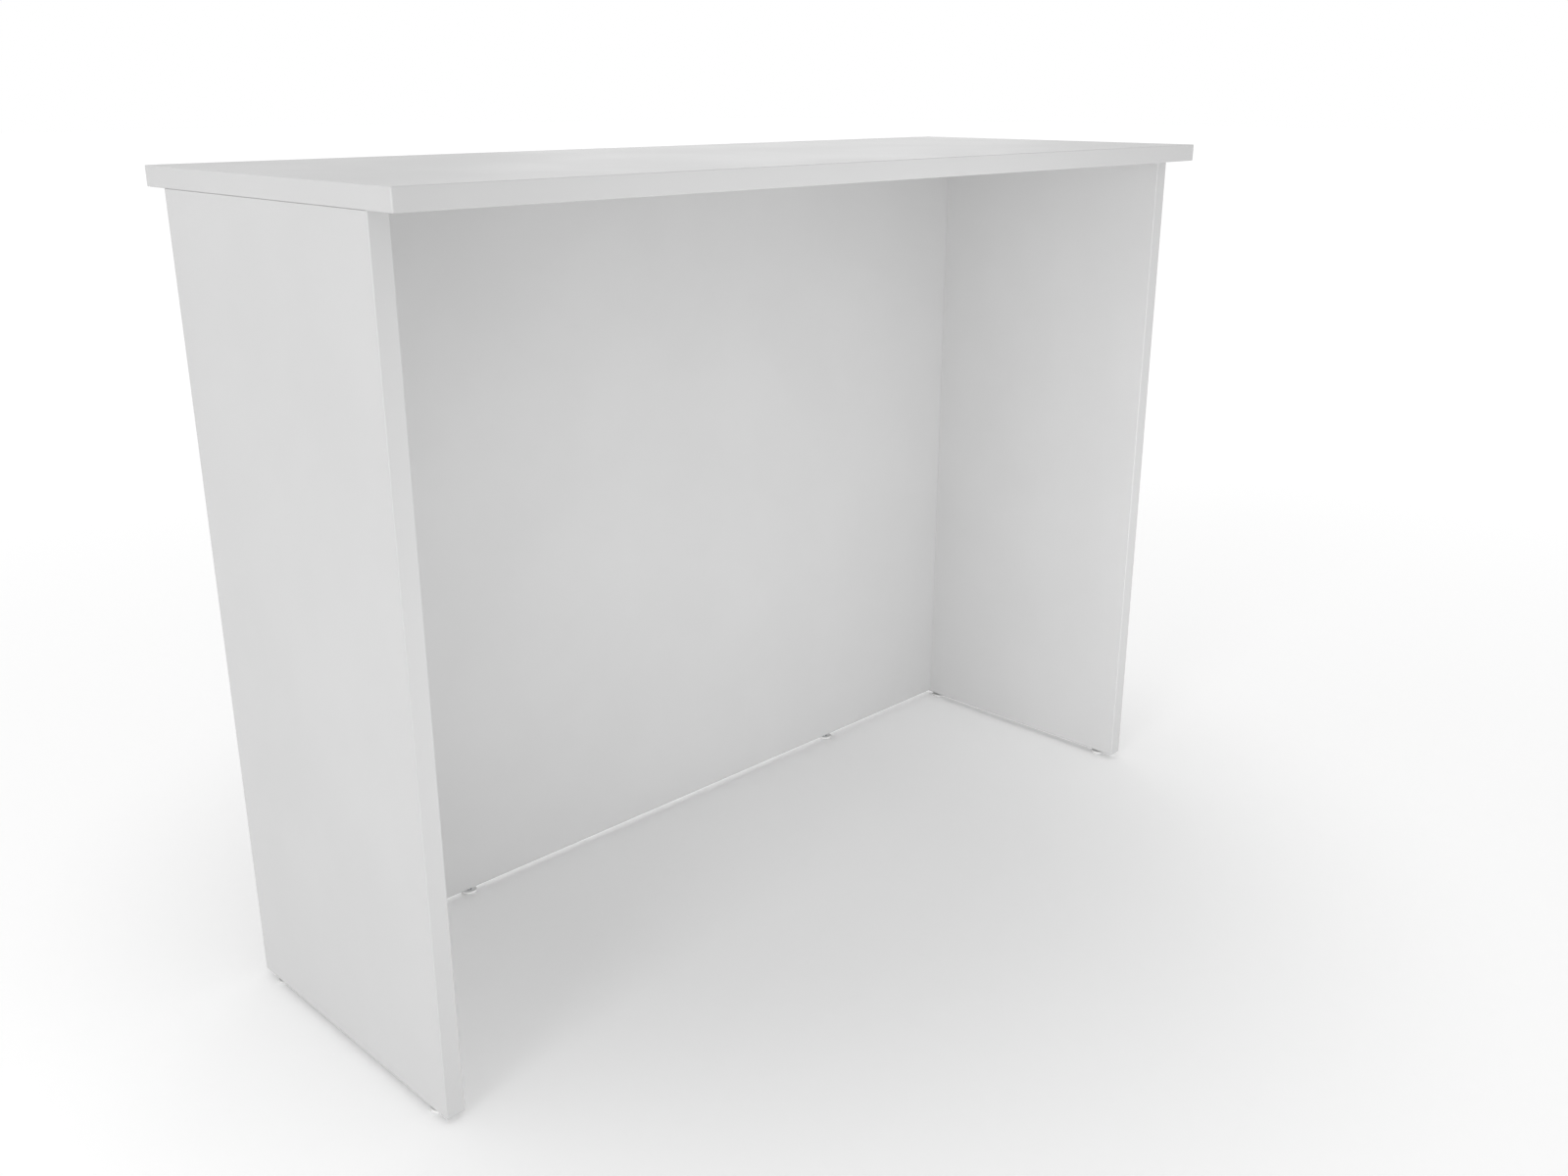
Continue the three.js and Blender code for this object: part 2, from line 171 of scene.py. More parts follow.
class Sketch:
    """One node tree, for a material or for geometry."""

    def __init__(self, tree):
        self.tree = tree

    def add(self, kind, settings=None, values=None):
        """A node of any type, as the link of its first output."""
        node = self.tree.nodes.new(kind)
        for name, setting in (settings or {}).items():
            setattr(node, name, setting)
        for key, value in (values or {}).items():
            socket = pick(node.inputs, key)
            for one in value if isinstance(value, list) else [value]:
                if isinstance(one, Link):
                    self.tree.links.new(one.socket, socket)
                else:
                    socket.default_value = one
        outputs = [socket for socket in node.outputs if socket.enabled]
        return Link(self, outputs[0]) if outputs else None

    def mix(self, share, first, second):
        """A colour between two others. Plain colours have three numbers."""
        both = [c if isinstance(c, Link) else (*c, 1.0) for c in (first, second)]
        values = {"Factor": share, "A": both[0], "B": both[1]}
        return self.add("ShaderNodeMix", {"data_type": "RGBA"}, values)

    def point(self, x, y, z):
        return self.add("ShaderNodeCombineXYZ", values={"X": x, "Y": y, "Z": z})


print("a sketch has one method for nodes:", Sketch.add.__name__)

# %% [markdown]
# A finish
#
# Every finish below is a pattern in real millimetres on the object's own coordinates, so a board's
# grain is as fine on the model as on the real board. All of them end alike: a colour, a roughness
# and a height in one surface shader, with the height turned into slopes by a Bump node.


# %% A finish and its patterns
class Finish(Sketch):
    """A material whose pattern is measured on the object."""

    def __init__(self, name):
        self.material = bpy.data.materials.new(name)
        self.material.use_nodes = True
        super().__init__(self.material.node_tree)
        self.tree.nodes.clear()
        self.place = self.add("ShaderNodeTexCoord").output("Object")

    def noise(self, grain, detail=2.0, stretch=(1, 1, 1), place=None):
        """Cloudy noise with grains of this size, longer along an axis with a larger stretch."""
        scale = tuple(1 / (grain * longer) for longer in stretch)
        placed = (place or self.place).vector("MULTIPLY", scale)
        values = {"Vector": placed, "Scale": 1.0, "Detail": detail, "Roughness": 0.55}
        return self.add("ShaderNodeTexNoise", values=values)

    def cells(self, grain):
        """Distance to the nearest of scattered points, which lie about a grain apart."""
        values = {"Vector": self.place.vector("MULTIPLY", (1 / grain,) * 3), "Scale": 1.0}
        return self.add("ShaderNodeTexVoronoi", values=values)

    def surface(self, colour, roughness, height=None, depth=0.0, others=None):
        """The shader that all finishes end in. The height runs over depth, in metres."""
        values = {"Base Color": colour, "Roughness": roughness, **(others or {})}
        if height is not None:
            slopes = {"Strength": 1.0, "Distance": depth, "Height": height}
            values["Normal"] = self.add("ShaderNodeBump", values=slopes)
        shader = self.add("ShaderNodeBsdfPrincipled", values=values)
        self.add("ShaderNodeOutputMaterial", values={"Surface": shader})
        print("finish:", self.material.name, "with", len(self.tree.nodes), "nodes")
        return self.material


# %% [markdown]
# Melamine
#
# The boards are chipboard with a pale grey paper pressed onto both faces, soaked in melamine resin.
# The press plate leaves a fine pearl texture, under a millimetre across and a few hundredths deep,
# which is what gives the board its satin look. The colour hardly changes: only a faint cloudiness
# from the paper. The face is glued to nothing at its rim, where the edge band starts, so a hairline
# shows there. The board's geometry stores how far each point is from its cut edges, and the finish
# draws the line from that.

# %% Melamine
grey = (0.68, 0.68, 0.68)


def melamine_finish():
    finish = Finish("melamine_face")
    pearl = finish.noise(0.9 * MM, detail=3.0)
    plate = finish.noise(14 * MM, detail=1.0)
    cloud = finish.noise(220 * MM, detail=3.0)
    to_low = finish.add("ShaderNodeAttribute", {"attribute_name": "from_low"}).output("Vector")
    to_high = finish.add("ShaderNodeAttribute", {"attribute_name": "from_high"}).output("Vector")
    x, y, z = to_low.vector("MINIMUM", to_high).parts()
    rim = x.math("MINIMUM", y).math("MINIMUM", z)
    hairline = 1 - rim.ramp(0.04 * MM, 0.16 * MM)
    shade = cloud.ramp(0.3, 0.7, 0.0, 1.0)
    face = finish.mix(shade, tuple(0.985 * c for c in grey), tuple(1.01 * c for c in grey))
    colour = finish.mix(hairline * 0.35, face, (0.32, 0.31, 0.30))
    roughness = 0.40 + 0.10 * pearl.ramp(0.3, 0.7) + 0.05 * (1 - shade)
    height = 0.8 * pearl + 0.5 * plate - 2.0 * hairline
    return finish.surface(colour, roughness, height, 0.05 * MM)


melamine = melamine_finish()

# %% [markdown]
# Chipboard
#
# Inside the board, and on the edges that the top hides, the chips show: coarse ones in the middle
# and fine ones towards the two faces. The geometry stores how deep each point lies in the board,
# from -1 at one face to 1 at the other, and the finish mixes coarse and fine chips by it.


# %% Chipboard
def chipboard_finish():
    finish = Finish("chipboard")
    across = finish.add("ShaderNodeAttribute", {"attribute_name": "across_board"}).output("Fac")
    coarse_share = 1 - across.math("ABSOLUTE").ramp(0.45, 0.75)
    coarse = finish.cells(2.4 * MM)
    fine = finish.cells(0.8 * MM)
    tint = finish.mix(coarse_share, fine.output("Color"), coarse.output("Color"))
    tone = tint.vector("DOT_PRODUCT", (0.4, 0.4, 0.2)).output("Value")
    light, dark = (0.56, 0.40, 0.24), (0.25, 0.15, 0.08)
    colour = finish.mix(tone.ramp(0.2, 0.8, smooth=False), dark, light)
    gaps = coarse.ramp(0.0, 0.6) * coarse_share
    return finish.surface(colour, 0.85, tone + gaps, 0.25 * MM)


chipboard = chipboard_finish()

# %% [markdown]
# Edge band
#
# The band is extruded plastic, two millimetres thick, in the board's own grey. It is glued on in
# one length and its corners are rounded with a cutter, then scraped. So it is a little glossier
# than the face, with the faint streaks of the extruder along it. Each band stores its own
# coordinates, with its length along X, and the streaks are noise that is stretched along that axis.


# %% Edge band
def band_finish():
    finish = Finish("edge_band_plastic")
    along = finish.add("ShaderNodeAttribute", {"attribute_name": "along_band"}).output("Vector")
    streaks = finish.noise(0.5 * MM, detail=2.0, stretch=(160, 1, 1), place=along)
    pearl = finish.noise(0.9 * MM, detail=3.0)
    cloud = finish.noise(300 * MM, detail=2.0)
    colour = finish.mix(cloud.ramp(0.3, 0.7), (0.66, 0.66, 0.66), (0.675, 0.675, 0.675))
    roughness = 0.32 + 0.10 * streaks.ramp(0.3, 0.7)
    return finish.surface(colour, roughness, 0.6 * streaks + 0.5 * pearl, 0.02 * MM)


band_plastic = band_finish()

# %% [markdown]
# Foot plastic, zinc-plated steel, die-cast zinc and beech
#
# The feet's pads are moulded plastic with the fine grain of a spark-eroded mould. Screws, inserts
# and bolts are steel under a thin bright zinc coat, a little cloudy, with the lines of the lathe
# round them. The cams are cast zinc, greyer and finely pitted. The dowels are beech, whose short
# dark flecks run along the dowel.


# %% The small finishes
def moulded_finish():
    finish = Finish("moulded_plastic")
    grain = finish.noise(0.25 * MM, detail=2.0)
    cloud = finish.noise(9 * MM, detail=2.0)
    colour = finish.mix(cloud.ramp(0.3, 0.7), (0.645, 0.645, 0.64), (0.665, 0.665, 0.66))
    roughness = 0.42 + 0.12 * grain.ramp(0.3, 0.7)
    return finish.surface(colour, roughness, grain, 0.02 * MM)


def zinc_finish(name, bright, dull, roughness, grain_depth):
    finish = Finish(name)
    cloud = finish.noise(2.6 * MM, detail=4.0)
    pits = finish.noise(0.22 * MM, detail=3.0)
    colour = finish.mix(cloud.ramp(0.3, 0.7), dull, bright)
    mottled = roughness + 0.12 * cloud.ramp(0.35, 0.65)
    return finish.surface(colour, mottled, pits, grain_depth, {"Metallic": 1.0})


def beech_finish():
    finish = Finish("beech")
    along = finish.add("ShaderNodeAttribute", {"attribute_name": "own_place"}).output("Vector")
    grain = finish.noise(0.6 * MM, detail=3.0, stretch=(1, 1, 14), place=along)
    flecks = finish.noise(0.35 * MM, detail=1.0, stretch=(1, 1, 7), place=along).ramp(0.62, 0.7)
    base = finish.mix(grain.ramp(0.3, 0.7), (0.52, 0.34, 0.19), (0.66, 0.47, 0.29))
    colour = finish.mix(flecks * 0.7, base, (0.30, 0.16, 0.08))
    return finish.surface(colour, 0.62 + 0.1 * grain, grain - flecks, 0.06 * MM)


moulded_plastic = moulded_finish()
bright_plating, dull_plating = (0.66, 0.68, 0.70), (0.50, 0.52, 0.55)
bright_casting, dull_casting = (0.50, 0.51, 0.52), (0.38, 0.39, 0.40)
zinc_steel = zinc_finish("zinc_plated_steel", bright_plating, dull_plating, 0.24, 0.004 * MM)
cast_zinc = zinc_finish("die_cast_zinc", bright_casting, dull_casting, 0.42, 0.02 * MM)
beech = beech_finish()

# %% [markdown]
# Geometry by rule
#
# The boards, bands and turned pieces follow rules, so each is made by a node tree with named inputs
# for its sizes. A small helper starts a tree, another puts it on a piece as a modifier and sets its
# inputs, and the last turns the result into a plain mesh on an object that sits at the origin.

# %% Start, use and settle a tree
socket_kinds = {"length": "Float", "count": "Int", "place": "Vector", "finish": "Material"}
smooth_below = math.radians(32)  # edges with a sharper angle stay crisp
weld_distance = 0.001 * MM


def start_tree(name, **inputs):
    """A geometry tree, and the links of its inputs. An input's kind is a word of socket_kinds."""
    tree = bpy.data.node_groups.new(name, "GeometryNodeTree")
    tree.interface.new_socket("Geometry", in_out="INPUT", socket_type="NodeSocketGeometry")
    for label, kind in inputs.items():
        socket_type = "NodeSocket" + socket_kinds[kind]
        tree.interface.new_socket(label, in_out="INPUT", socket_type=socket_type)
    tree.interface.new_socket("Geometry", in_out="OUTPUT", socket_type="NodeSocketGeometry")
    sketch = Sketch(tree)
    start = sketch.add("NodeGroupInput")
    given = {label: start.output(label) for label in inputs}
    return sketch, start, given


def moved(sketch, geometry, place, **others):
    """Geometry that is moved, and turned where a Rotation is given too."""
    values = {"Geometry": geometry, "Translation": place, **others}
    return sketch.add("GeometryNodeTransform", values=values)


def welded(sketch, geometry):
    values = {"Geometry": geometry, "Distance": weld_distance}
    return sketch.add("GeometryNodeMergeByDistance", values=values)


def carved(sketch, piece, tools):
    """A piece with the tools' solids taken away."""
    cutting = {"operation": "DIFFERENCE", "solver": "EXACT"}
    values = {"Mesh 1": piece, "Mesh 2": tools, "Self Intersection": True}
    return sketch.add("GeometryNodeMeshBoolean", cutting, values)


def noted(sketch, name, kind="FLOAT"):
    """What the points of a blank were given under a name."""
    reading = {"data_type": kind}
    return sketch.add("GeometryNodeInputNamedAttribute", reading, {"Name": name})


def with_note(sketch, geometry, name, kind, value):
    """Geometry whose points keep a value under a name, for its finish."""
    storing = {"data_type": kind, "domain": "POINT"}
    values = {"Geometry": geometry, "Name": name, "Value": value}
    return sketch.add("GeometryNodeStoreNamedAttribute", storing, values)


def end_tree(sketch, geometry, finishes):
    """The last nodes of every tree: realized, smooth but for its sharp edges, and finished.

    The finishes are pairs of a choice of faces and the finish that they get, the widest first.
    """
    solid = sketch.add("GeometryNodeRealizeInstances", values={"Geometry": geometry})
    smooth = sketch.add("GeometryNodeSetShadeSmooth", values={"Geometry": solid})
    sharp = sketch.add("GeometryNodeInputMeshEdgeAngle") > smooth_below
    values = {"Geometry": smooth, "Selection": sharp, "Shade Smooth": False}
    covered = sketch.add("GeometryNodeSetShadeSmooth", {"domain": "EDGE"}, values)
    for faces, finish in finishes:
        values = {"Geometry": covered, "Selection": faces, "Material": finish}
        covered = sketch.add("GeometryNodeSetMaterial", values=values)
    sketch.add("NodeGroupOutput", values={0: covered})
    print("tree:", sketch.tree.name, "with", len(sketch.tree.nodes), "nodes")
    return sketch


def use_tree(blank, sketch, **inputs):
    """Puts a tree on a blank. Its inputs are set by their identifiers."""
    modifier = blank.modifiers.new(sketch.tree.name, "NODES")
    modifier.node_group = sketch.tree
    for item in sketch.tree.interface.items_tree:
        if item.in_out == "INPUT" and item.name in inputs:
            modifier[item.identifier] = inputs[item.name]


def make_blank(name, points, **attributes):
    """An object that is only points so far, each with its numbers or vectors."""
    mesh = bpy.data.meshes.new(name)
    mesh.from_pydata([tuple(point) for point in points], [], [])
    for label, values in attributes.items():
        flat = not values or isinstance(values[0], (int, float))
        kind, field = ("FLOAT", "value") if flat else ("FLOAT_VECTOR", "vector")
        numbers = values if flat else [number for value in values for number in value]
        mesh.attributes.new(label, kind, "POINT").data.foreach_set(field, numbers)
    blank = bpy.data.objects.new(name, mesh)
    bpy.context.scene.collection.objects.link(blank)
    return blank


def finished_mesh(blank):
    """What the modifiers make of a blank, as a plain mesh. The blank itself is thrown away."""
    weighting = blank.modifiers.new("even_faces", "WEIGHTED_NORMAL")
    weighting.keep_sharp = True
    graph = bpy.context.evaluated_depsgraph_get()
    made = blank.evaluated_get(graph)
    mesh = bpy.data.meshes.new_from_object(made, preserve_all_data_layers=True, depsgraph=graph)
    for slot in reversed(range(len(mesh.materials))):
        if mesh.materials[slot] is None:
            mesh.materials.pop(index=slot)
    bpy.data.objects.remove(blank)
    return mesh


def put_in_place(kind, node, mesh, middle=(0, 0, 0), turn=(0, 0, 0)):
    """A piece for a node of the model, on the node's body."""
    own = mesh.copy()
    own.transform(Matrix.Translation(middle) @ Euler(turn).to_matrix().to_4x4())
    piece = bpy.data.objects.new(kind + "_" + node, own)
    own.name = piece.name
    bpy.context.scene.collection.objects.link(piece)
    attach(piece, frame["nodes"][node]["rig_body"])
    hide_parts(node)
    print(piece.name, "has", len(own.polygons), "faces")
    return piece


print("inputs can be:", ", ".join(socket_kinds))

# %% [markdown]
# Boards and bands
#
# A banded board is one eased slab that is cut into five pieces: the board itself and the bands on
# its edges. The tree draws the slab as a carpenter's moulding would be drawn, by running a rounded
# edge section round the outline, then filling both faces. A window keeps one piece of it, and the
# bores are drilled out: every point that the blank starts with is the mouth of one bore, with its
# direction, radius and depth. The pattern of bores is thus made once and drilled wherever it is
# needed. Cutting with solids keeps every edge as crisp as a saw leaves it.


# %% The tree of a board
def board_tree():
    sketch, start, given = start_tree(
        "banded_board",
        outline_length="length",
        outline_width="length",
        thickness="length",
        edge_rounding="length",
        corner_rounding="length",
        rounding_steps="count",
        turn="place",
        middle="place",
        window_low="place",
        window_high="place",
        bore_steps="count",
        face_finish="finish",
        core_finish="finish",
        seal_finish="finish",
    )
    rounding, steps = given["edge_rounding"], given["rounding_steps"]
    half = given["thickness"] / 2
    values = {
        "Width": given["outline_length"] - 2 * rounding,
        "Height": given["outline_width"] - 2 * rounding,
    }
    path = sketch.add("GeometryNodeCurvePrimitiveQuadrilateral", {"mode": "RECTANGLE"}, values)
    values = {"Curve": path, "Count": steps, "Radius": given["corner_rounding"] - rounding}
    path = sketch.add("GeometryNodeFilletCurve", {"mode": "POLY"}, values)
    values = {
        "Resolution": 2 * steps + 2,
        "Radius": rounding,
        "Start Angle": -math.pi / 2,
        "Sweep Angle": math.pi,
    }
    arc = sketch.add("GeometryNodeCurveArc", {"mode": "RADIUS"}, values)
    widest = ((math.pi / 2) / (2 * steps + 1)).math("COSINE")
    x, y, _ = sketch.add("GeometryNodeInputPosition").parts()
    edge = sketch.point(x / widest, y + y.math("SIGN") * (half - rounding), 0.0)
    section = sketch.add("GeometryNodeSetPosition", values={"Geometry": arc, "Position": edge})
    skin = sketch.add("GeometryNodeCurveToMesh", values={"Curve": path, "Profile Curve": section})
    face = sketch.add("GeometryNodeFillCurve", {"mode": "NGONS"}, {"Curve": path})
    upper = moved(sketch, face, sketch.point(0.0, 0.0, half))
    lower = moved(sketch, face, sketch.point(0.0, 0.0, -1 * half))
    lower = sketch.add("GeometryNodeFlipFaces", values={"Mesh": lower})
    slab = sketch.add("GeometryNodeJoinGeometry", values={"Geometry": [skin, upper, lower]})
    slab = moved(sketch, welded(sketch, slab), given["middle"], Rotation=given["turn"])

    low, high = given["window_low"], given["window_high"]
    window = sketch.add("GeometryNodeMeshCube", values={"Size": high.vector("SUBTRACT", low)})
    window = moved(sketch, window, low.vector("ADD", high).vector("SCALE", 0.5))
    cutting = {"operation": "INTERSECT", "solver": "EXACT"}
    piece = sketch.add("GeometryNodeMeshBoolean", cutting, {0: [slab, window]})

    values = {"Vertices": given["bore_steps"], "Radius": 1.0, "Depth": 1.0}
    bore = moved(sketch, sketch.add("GeometryNodeMeshCylinder", values=values), (0.0, 0.0, 0.5))
    values = {"Vector": noted(sketch, "bore_axis", "FLOAT_VECTOR")}
    way = sketch.add("FunctionNodeAlignRotationToVector", {"axis": "Z"}, values)
    radius, depth = noted(sketch, "bore_radius"), noted(sketch, "bore_depth")
    size = sketch.point(radius, radius, depth)
    values = {"Points": start, "Instance": bore, "Rotation": way, "Scale": size}
    bores = sketch.add("GeometryNodeInstanceOnPoints", values=values)
    bores = sketch.add("GeometryNodeRealizeInstances", values={"Geometry": bores})
    piece = carved(sketch, piece, bores)

    here = sketch.add("GeometryNodeInputPosition")
    turning = {"rotation_type": "EULER_XYZ", "invert": True}
    values = {"Vector": here.vector("SUBTRACT", given["middle"]), "Rotation": given["turn"]}
    own = sketch.add("ShaderNodeVectorRotate", turning, values)
    across = own.parts()[2] / half
    to_high = high.vector("SUBTRACT", here)
    for name, kind, value in (
        ("from_low", "FLOAT_VECTOR", here.vector("SUBTRACT", low)),
        ("from_high", "FLOAT_VECTOR", to_high),
        ("along_band", "FLOAT_VECTOR", own),
        ("across_board", "FLOAT", across),
    ):
        piece = with_note(sketch, piece, name, kind, value)

    values = {"Vector": sketch.add("GeometryNodeInputNormal"), "Rotation": given["turn"]}
    facing = sketch.add("ShaderNodeVectorRotate", turning, values).parts()[2].math("ABSOLUTE")
    inside = (across.math("ABSOLUTE") < 0.99).math("MAXIMUM", facing < 0.5)
    on_upper_edge = to_high.parts()[2].math("ABSOLUTE") < 0.01 * MM
    finishes = [
        (True, given["face_finish"]),
        (inside, given["core_finish"]),
        (on_upper_edge, given["seal_finish"]),
    ]
    return end_tree(sketch, piece, finishes)


banded_board = board_tree()

# %% [markdown]
# Where the bores go
#
# Each fastener tells where its own bore is: the model gives its box, and a bore is that box with a
# little room round it. A dowel has one bore through both boards that it joins. A cam has a wide
# bore into its panel and a narrow one down from the panel's edge for its bolt. A foot has three
# bores one above the other: for the insert's flange, for its body, and for the end of the screw.

# %% Sizes of the fasteners
screw_radius = 3 * MM  # of the M6 foot screw
screw_bore_depth = 20 * MM + end_room
insert_barb_radius = 5.2 * MM
insert_flange = 1 * MM
insert_length = 15 * MM  # with its flange
cam_radius = 7.2 * MM
bolt_thread_radius = 2.9 * MM
bolt_thread_length = 11 * MM
bolt_bore_radius = 4 * MM  # down the panel
dowel_radius = 4 * MM

feet = ["left_staff", "left_visitor", "right_staff", "right_visitor", "front_left", "front_right"]
cams = ["left", "right", "front_left", "front_middle", "front_right"]
dowels = [node for node in frame["nodes"] if "_dowel_" in node]
upwards = Vector((0, 0, 1))
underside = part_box("top_board")[0][2]


def panel_of(name):
    """The board that a fastener sits in, by the first word of its name."""
    first = name.split("_")[0]
    return "front_panel_board" if first == "front" else first + "_side_board"


def way_into(name):
    """The direction from a panel's inner face into the panel."""
    ways = {"left": (-1, 0, 0), "right": (1, 0, 0), "front": (0, 1, 0)}
    return Vector(ways[name.split("_")[0]])


def face_of_cam(cam):
    """The middle of a cam's face, and how long the cam is."""
    middle, size = size_of(cam + "_cam")
    length = abs(size.dot(way_into(cam)))
    return middle - way_into(cam) * length / 2, length


# %% The bores
bores = []  # (mouth, direction, radius, depth, the boards that it is drilled into)

for node in dowels:
    middle, size = size_of(node)
    along = Vector([1.0 if side == max(size) else 0.0 for side in size])
    length = max(size) + 2 * end_room
    joined = ["top_board" if along.z else "front_panel_board", panel_of(node)]
    bores.append((middle - along * length / 2, along, dowel_radius + fit, length, joined))

for cam in cams:
    face, length = face_of_cam(cam)
    mouth = face - way_into(cam) * past
    panel = [panel_of(cam)]
    bores.append((mouth, way_into(cam), cam_radius + fit, past + length + fit, panel))
    bolt = size_of(cam + "_cam_bolt")[0]
    cam_height = Vector((bolt.x, bolt.y, face.z))
    bores.append((cam_height, upwards, bolt_bore_radius, underside - face.z + past, panel))
    mouth = Vector((bolt.x, bolt.y, underside - past))
    depth = past + bolt_thread_length + end_room
    bores.append((mouth, upwards, bolt_thread_radius + fit, depth, ["top_board"]))

for foot in feet:
    middle, size = size_of(foot + "_foot_insert")
    mouth = middle - upwards * (size.z / 2 + past)
    drilled = [panel_of(foot), panel_of(foot).replace("board", "edge_bottom")]
    for radius, depth in (
        (size.x / 2, insert_flange),
        (insert_barb_radius, insert_length),
        (screw_radius, screw_bore_depth),
    ):
        bores.append((mouth, upwards, radius + fit, past + depth, drilled))

print(len(bores), "bores, the deepest", round(max(bore[3] for bore in bores) / MM, 1), "mm")

# %% [markdown]
# The four boards and their eleven bands
#
# The four banded boards differ only in how they stand and in which of their edges run on into a
# joint: a side panel's upper edge and three edges of the front panel have no thick band. There the
# slab runs on past the joint and the window cuts it square. The upper edges get a thin foil in the
# board's grey, because the top's rounding leaves a sliver of them in sight. Everything else comes
# from the boxes of the model's own nodes.

# %% Boards and bands
quarter = math.pi / 2
slabs = {
    # name: (how it stands, the two axes of its outline, its square sides as (axis, end) pairs)
    "top": ((0, 0, 0), (0, 1), []),
    "left_side": ((quarter, 0, quarter), (1, 2), [(2, 1)]),
    "right_side": ((quarter, 0, quarter), (1, 2), [(2, 1)]),
    "front_panel": ((quarter, 0, 0), (0, 2), [(2, 1), (0, 0), (0, 1)]),
}


def whole_box(nodes):
    """The lowest and highest corner of some nodes together."""
    boxes = [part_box(node) for node in nodes]
    low = Vector([min(box[0][axis] for box in boxes) for axis in range(3)])
    high = Vector([max(box[1][axis] for box in boxes) for axis in range(3)])
    return low, high


def window_of(node, whole, square_sides):
    """A node's own box, grown past the slab's eased sides but not past its square ones."""
    window = [Vector(corner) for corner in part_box(node)]
    for axis in range(3):
        for end, outwards in ((0, -1), (1, 1)):
            at_side = abs(window[end][axis] - whole[end][axis]) < fit
            if at_side and (axis, end) not in square_sides:
                window[end][axis] += outwards * past
    return window


for slab, (turn, outline, square_sides) in slabs.items():
    nodes = [node for node in frame["nodes"] if node.startswith((slab + "_board", slab + "_edge"))]
    whole = whole_box(nodes)
    grown = [corner.copy() for corner in whole]
    for axis, end in square_sides:
        grown[end][axis] += (corner_rounding + past) * (1 if end else -1)
    size, middle = grown[1] - grown[0], (grown[0] + grown[1]) / 2
    for node in nodes:
        is_board = node.endswith("_board")
        mouths = [bore for bore in bores if node in bore[4]]
        blank = make_blank(
            node + "_blank",
            [bore[0] for bore in mouths],
            bore_axis=[tuple(bore[1]) for bore in mouths],
            bore_radius=[bore[2] for bore in mouths],
            bore_depth=[bore[3] for bore in mouths],
        )
        window = window_of(node, whole, square_sides)
        use_tree(
            blank,
            banded_board,
            outline_length=size[outline[0]],
            outline_width=size[outline[1]],
            thickness=board_thickness,
            edge_rounding=band_rounding,
            corner_rounding=corner_rounding,
            rounding_steps=arc_steps,
            turn=turn,
            middle=middle,
            window_low=window[0],
            window_high=window[1],
            bore_steps=round_steps,
            face_finish=melamine if is_board else band_plastic,
            core_finish=chipboard if is_board else band_plastic,
            seal_finish=band_plastic,
        )
        mesh = finished_mesh(blank)
        if is_board:
            put_in_place("faced", node, mesh)
        else:
            put_in_place("eased", node, mesh)

# %% [markdown]
# Turned pieces
#
# Pads, screws, inserts, bolts, cams and dowels all start on a lathe. The tree does what the lathe
# does: it wraps a sheet of faces round the axis and takes every row's radius and height from the
# outline that the blank starts with. A thread is cut by the same tree. Its rows climb by one pitch
# in each turn, held back between the thread's two ends, so every row lies on a crest or in a root
# and the thread is crisp with only four rows a turn. Flutes are the same groove run straight.


# %% The tree of a turned piece
def turned_tree():
    sketch, start, given = start_tree(
        "turned_piece",
        steps="count",
        flutes="count",
        pitch="length",
        groove_depth="length",
        crest_share="length",
        root_share="length",
        thread_low="length",
        thread_high="length",
        finish="finish",
    )
    rows = sketch.add("GeometryNodeAttributeDomainSize", {"component": "MESH"}, {"Geometry": start})
    values = {"Vertices X": given["steps"] + 1, "Vertices Y": rows}
    sheet = sketch.add("GeometryNodeMeshGrid", values=values)
    index = sketch.add("GeometryNodeInputIndex")
    column = ((index + 0.5) / rows).math("FLOOR")
    row = index - column * rows
    share = column / given["steps"]

    def on_outline(kind, value):
        sampling = {"data_type": kind, "domain": "POINT"}
        values = {"Geometry": start, "Value": value, "Index": row}
        return sketch.add("GeometryNodeSampleIndex", sampling, values)

    def mark(name):
        return on_outline("FLOAT", noted(sketch, name))

    place = on_outline("FLOAT_VECTOR", sketch.add("GeometryNodeInputPosition"))
    radius, _, height = place.parts()
    threaded, fluted = mark("threaded"), mark("fluted")
    low, high, pitch = given["thread_low"], given["thread_high"], given["pitch"]
    climbing = (height + share * pitch).math("MAXIMUM", low).math("MINIMUM", high)
    climbed = height + threaded * (climbing - height)
    run_in = climbed.ramp(low, low + pitch * 0.6)
    run_out = climbed.ramp(high - pitch * 0.6, high, 1.0, 0.0)
    phase = threaded * (height / pitch) + (1 - threaded) * share * given["flutes"]
    off_crest = (phase - phase.math("ROUND")).math("ABSOLUTE")
    groove = off_crest.ramp(given["crest_share"], given["root_share"], smooth=False)
    out = radius - given["groove_depth"] * groove * (threaded * run_in * run_out + fluted)
    turned = share * (2 * math.pi)
    wrapped = sketch.point(out * turned.math("COSINE"), out * turned.math("SINE"), climbed)
    piece = sketch.add("GeometryNodeSetPosition", values={"Geometry": sheet, "Position": wrapped})
    own = sketch.add("GeometryNodeInputPosition")
    piece = with_note(sketch, welded(sketch, piece), "own_place", "FLOAT_VECTOR", own)
    return end_tree(sketch, piece, [(True, given["finish"])])


turned_piece = turned_tree()

# %% [markdown]
# Outlines for the lathe
#
# An outline is a short list of corners, each with a radius, a height and how much it is rounded.
# Small roundings are what catch the light on real turned parts, so nearly every corner has one. A
# threaded stretch gives four rows for each turn, at the two sides of the crest and of the root.


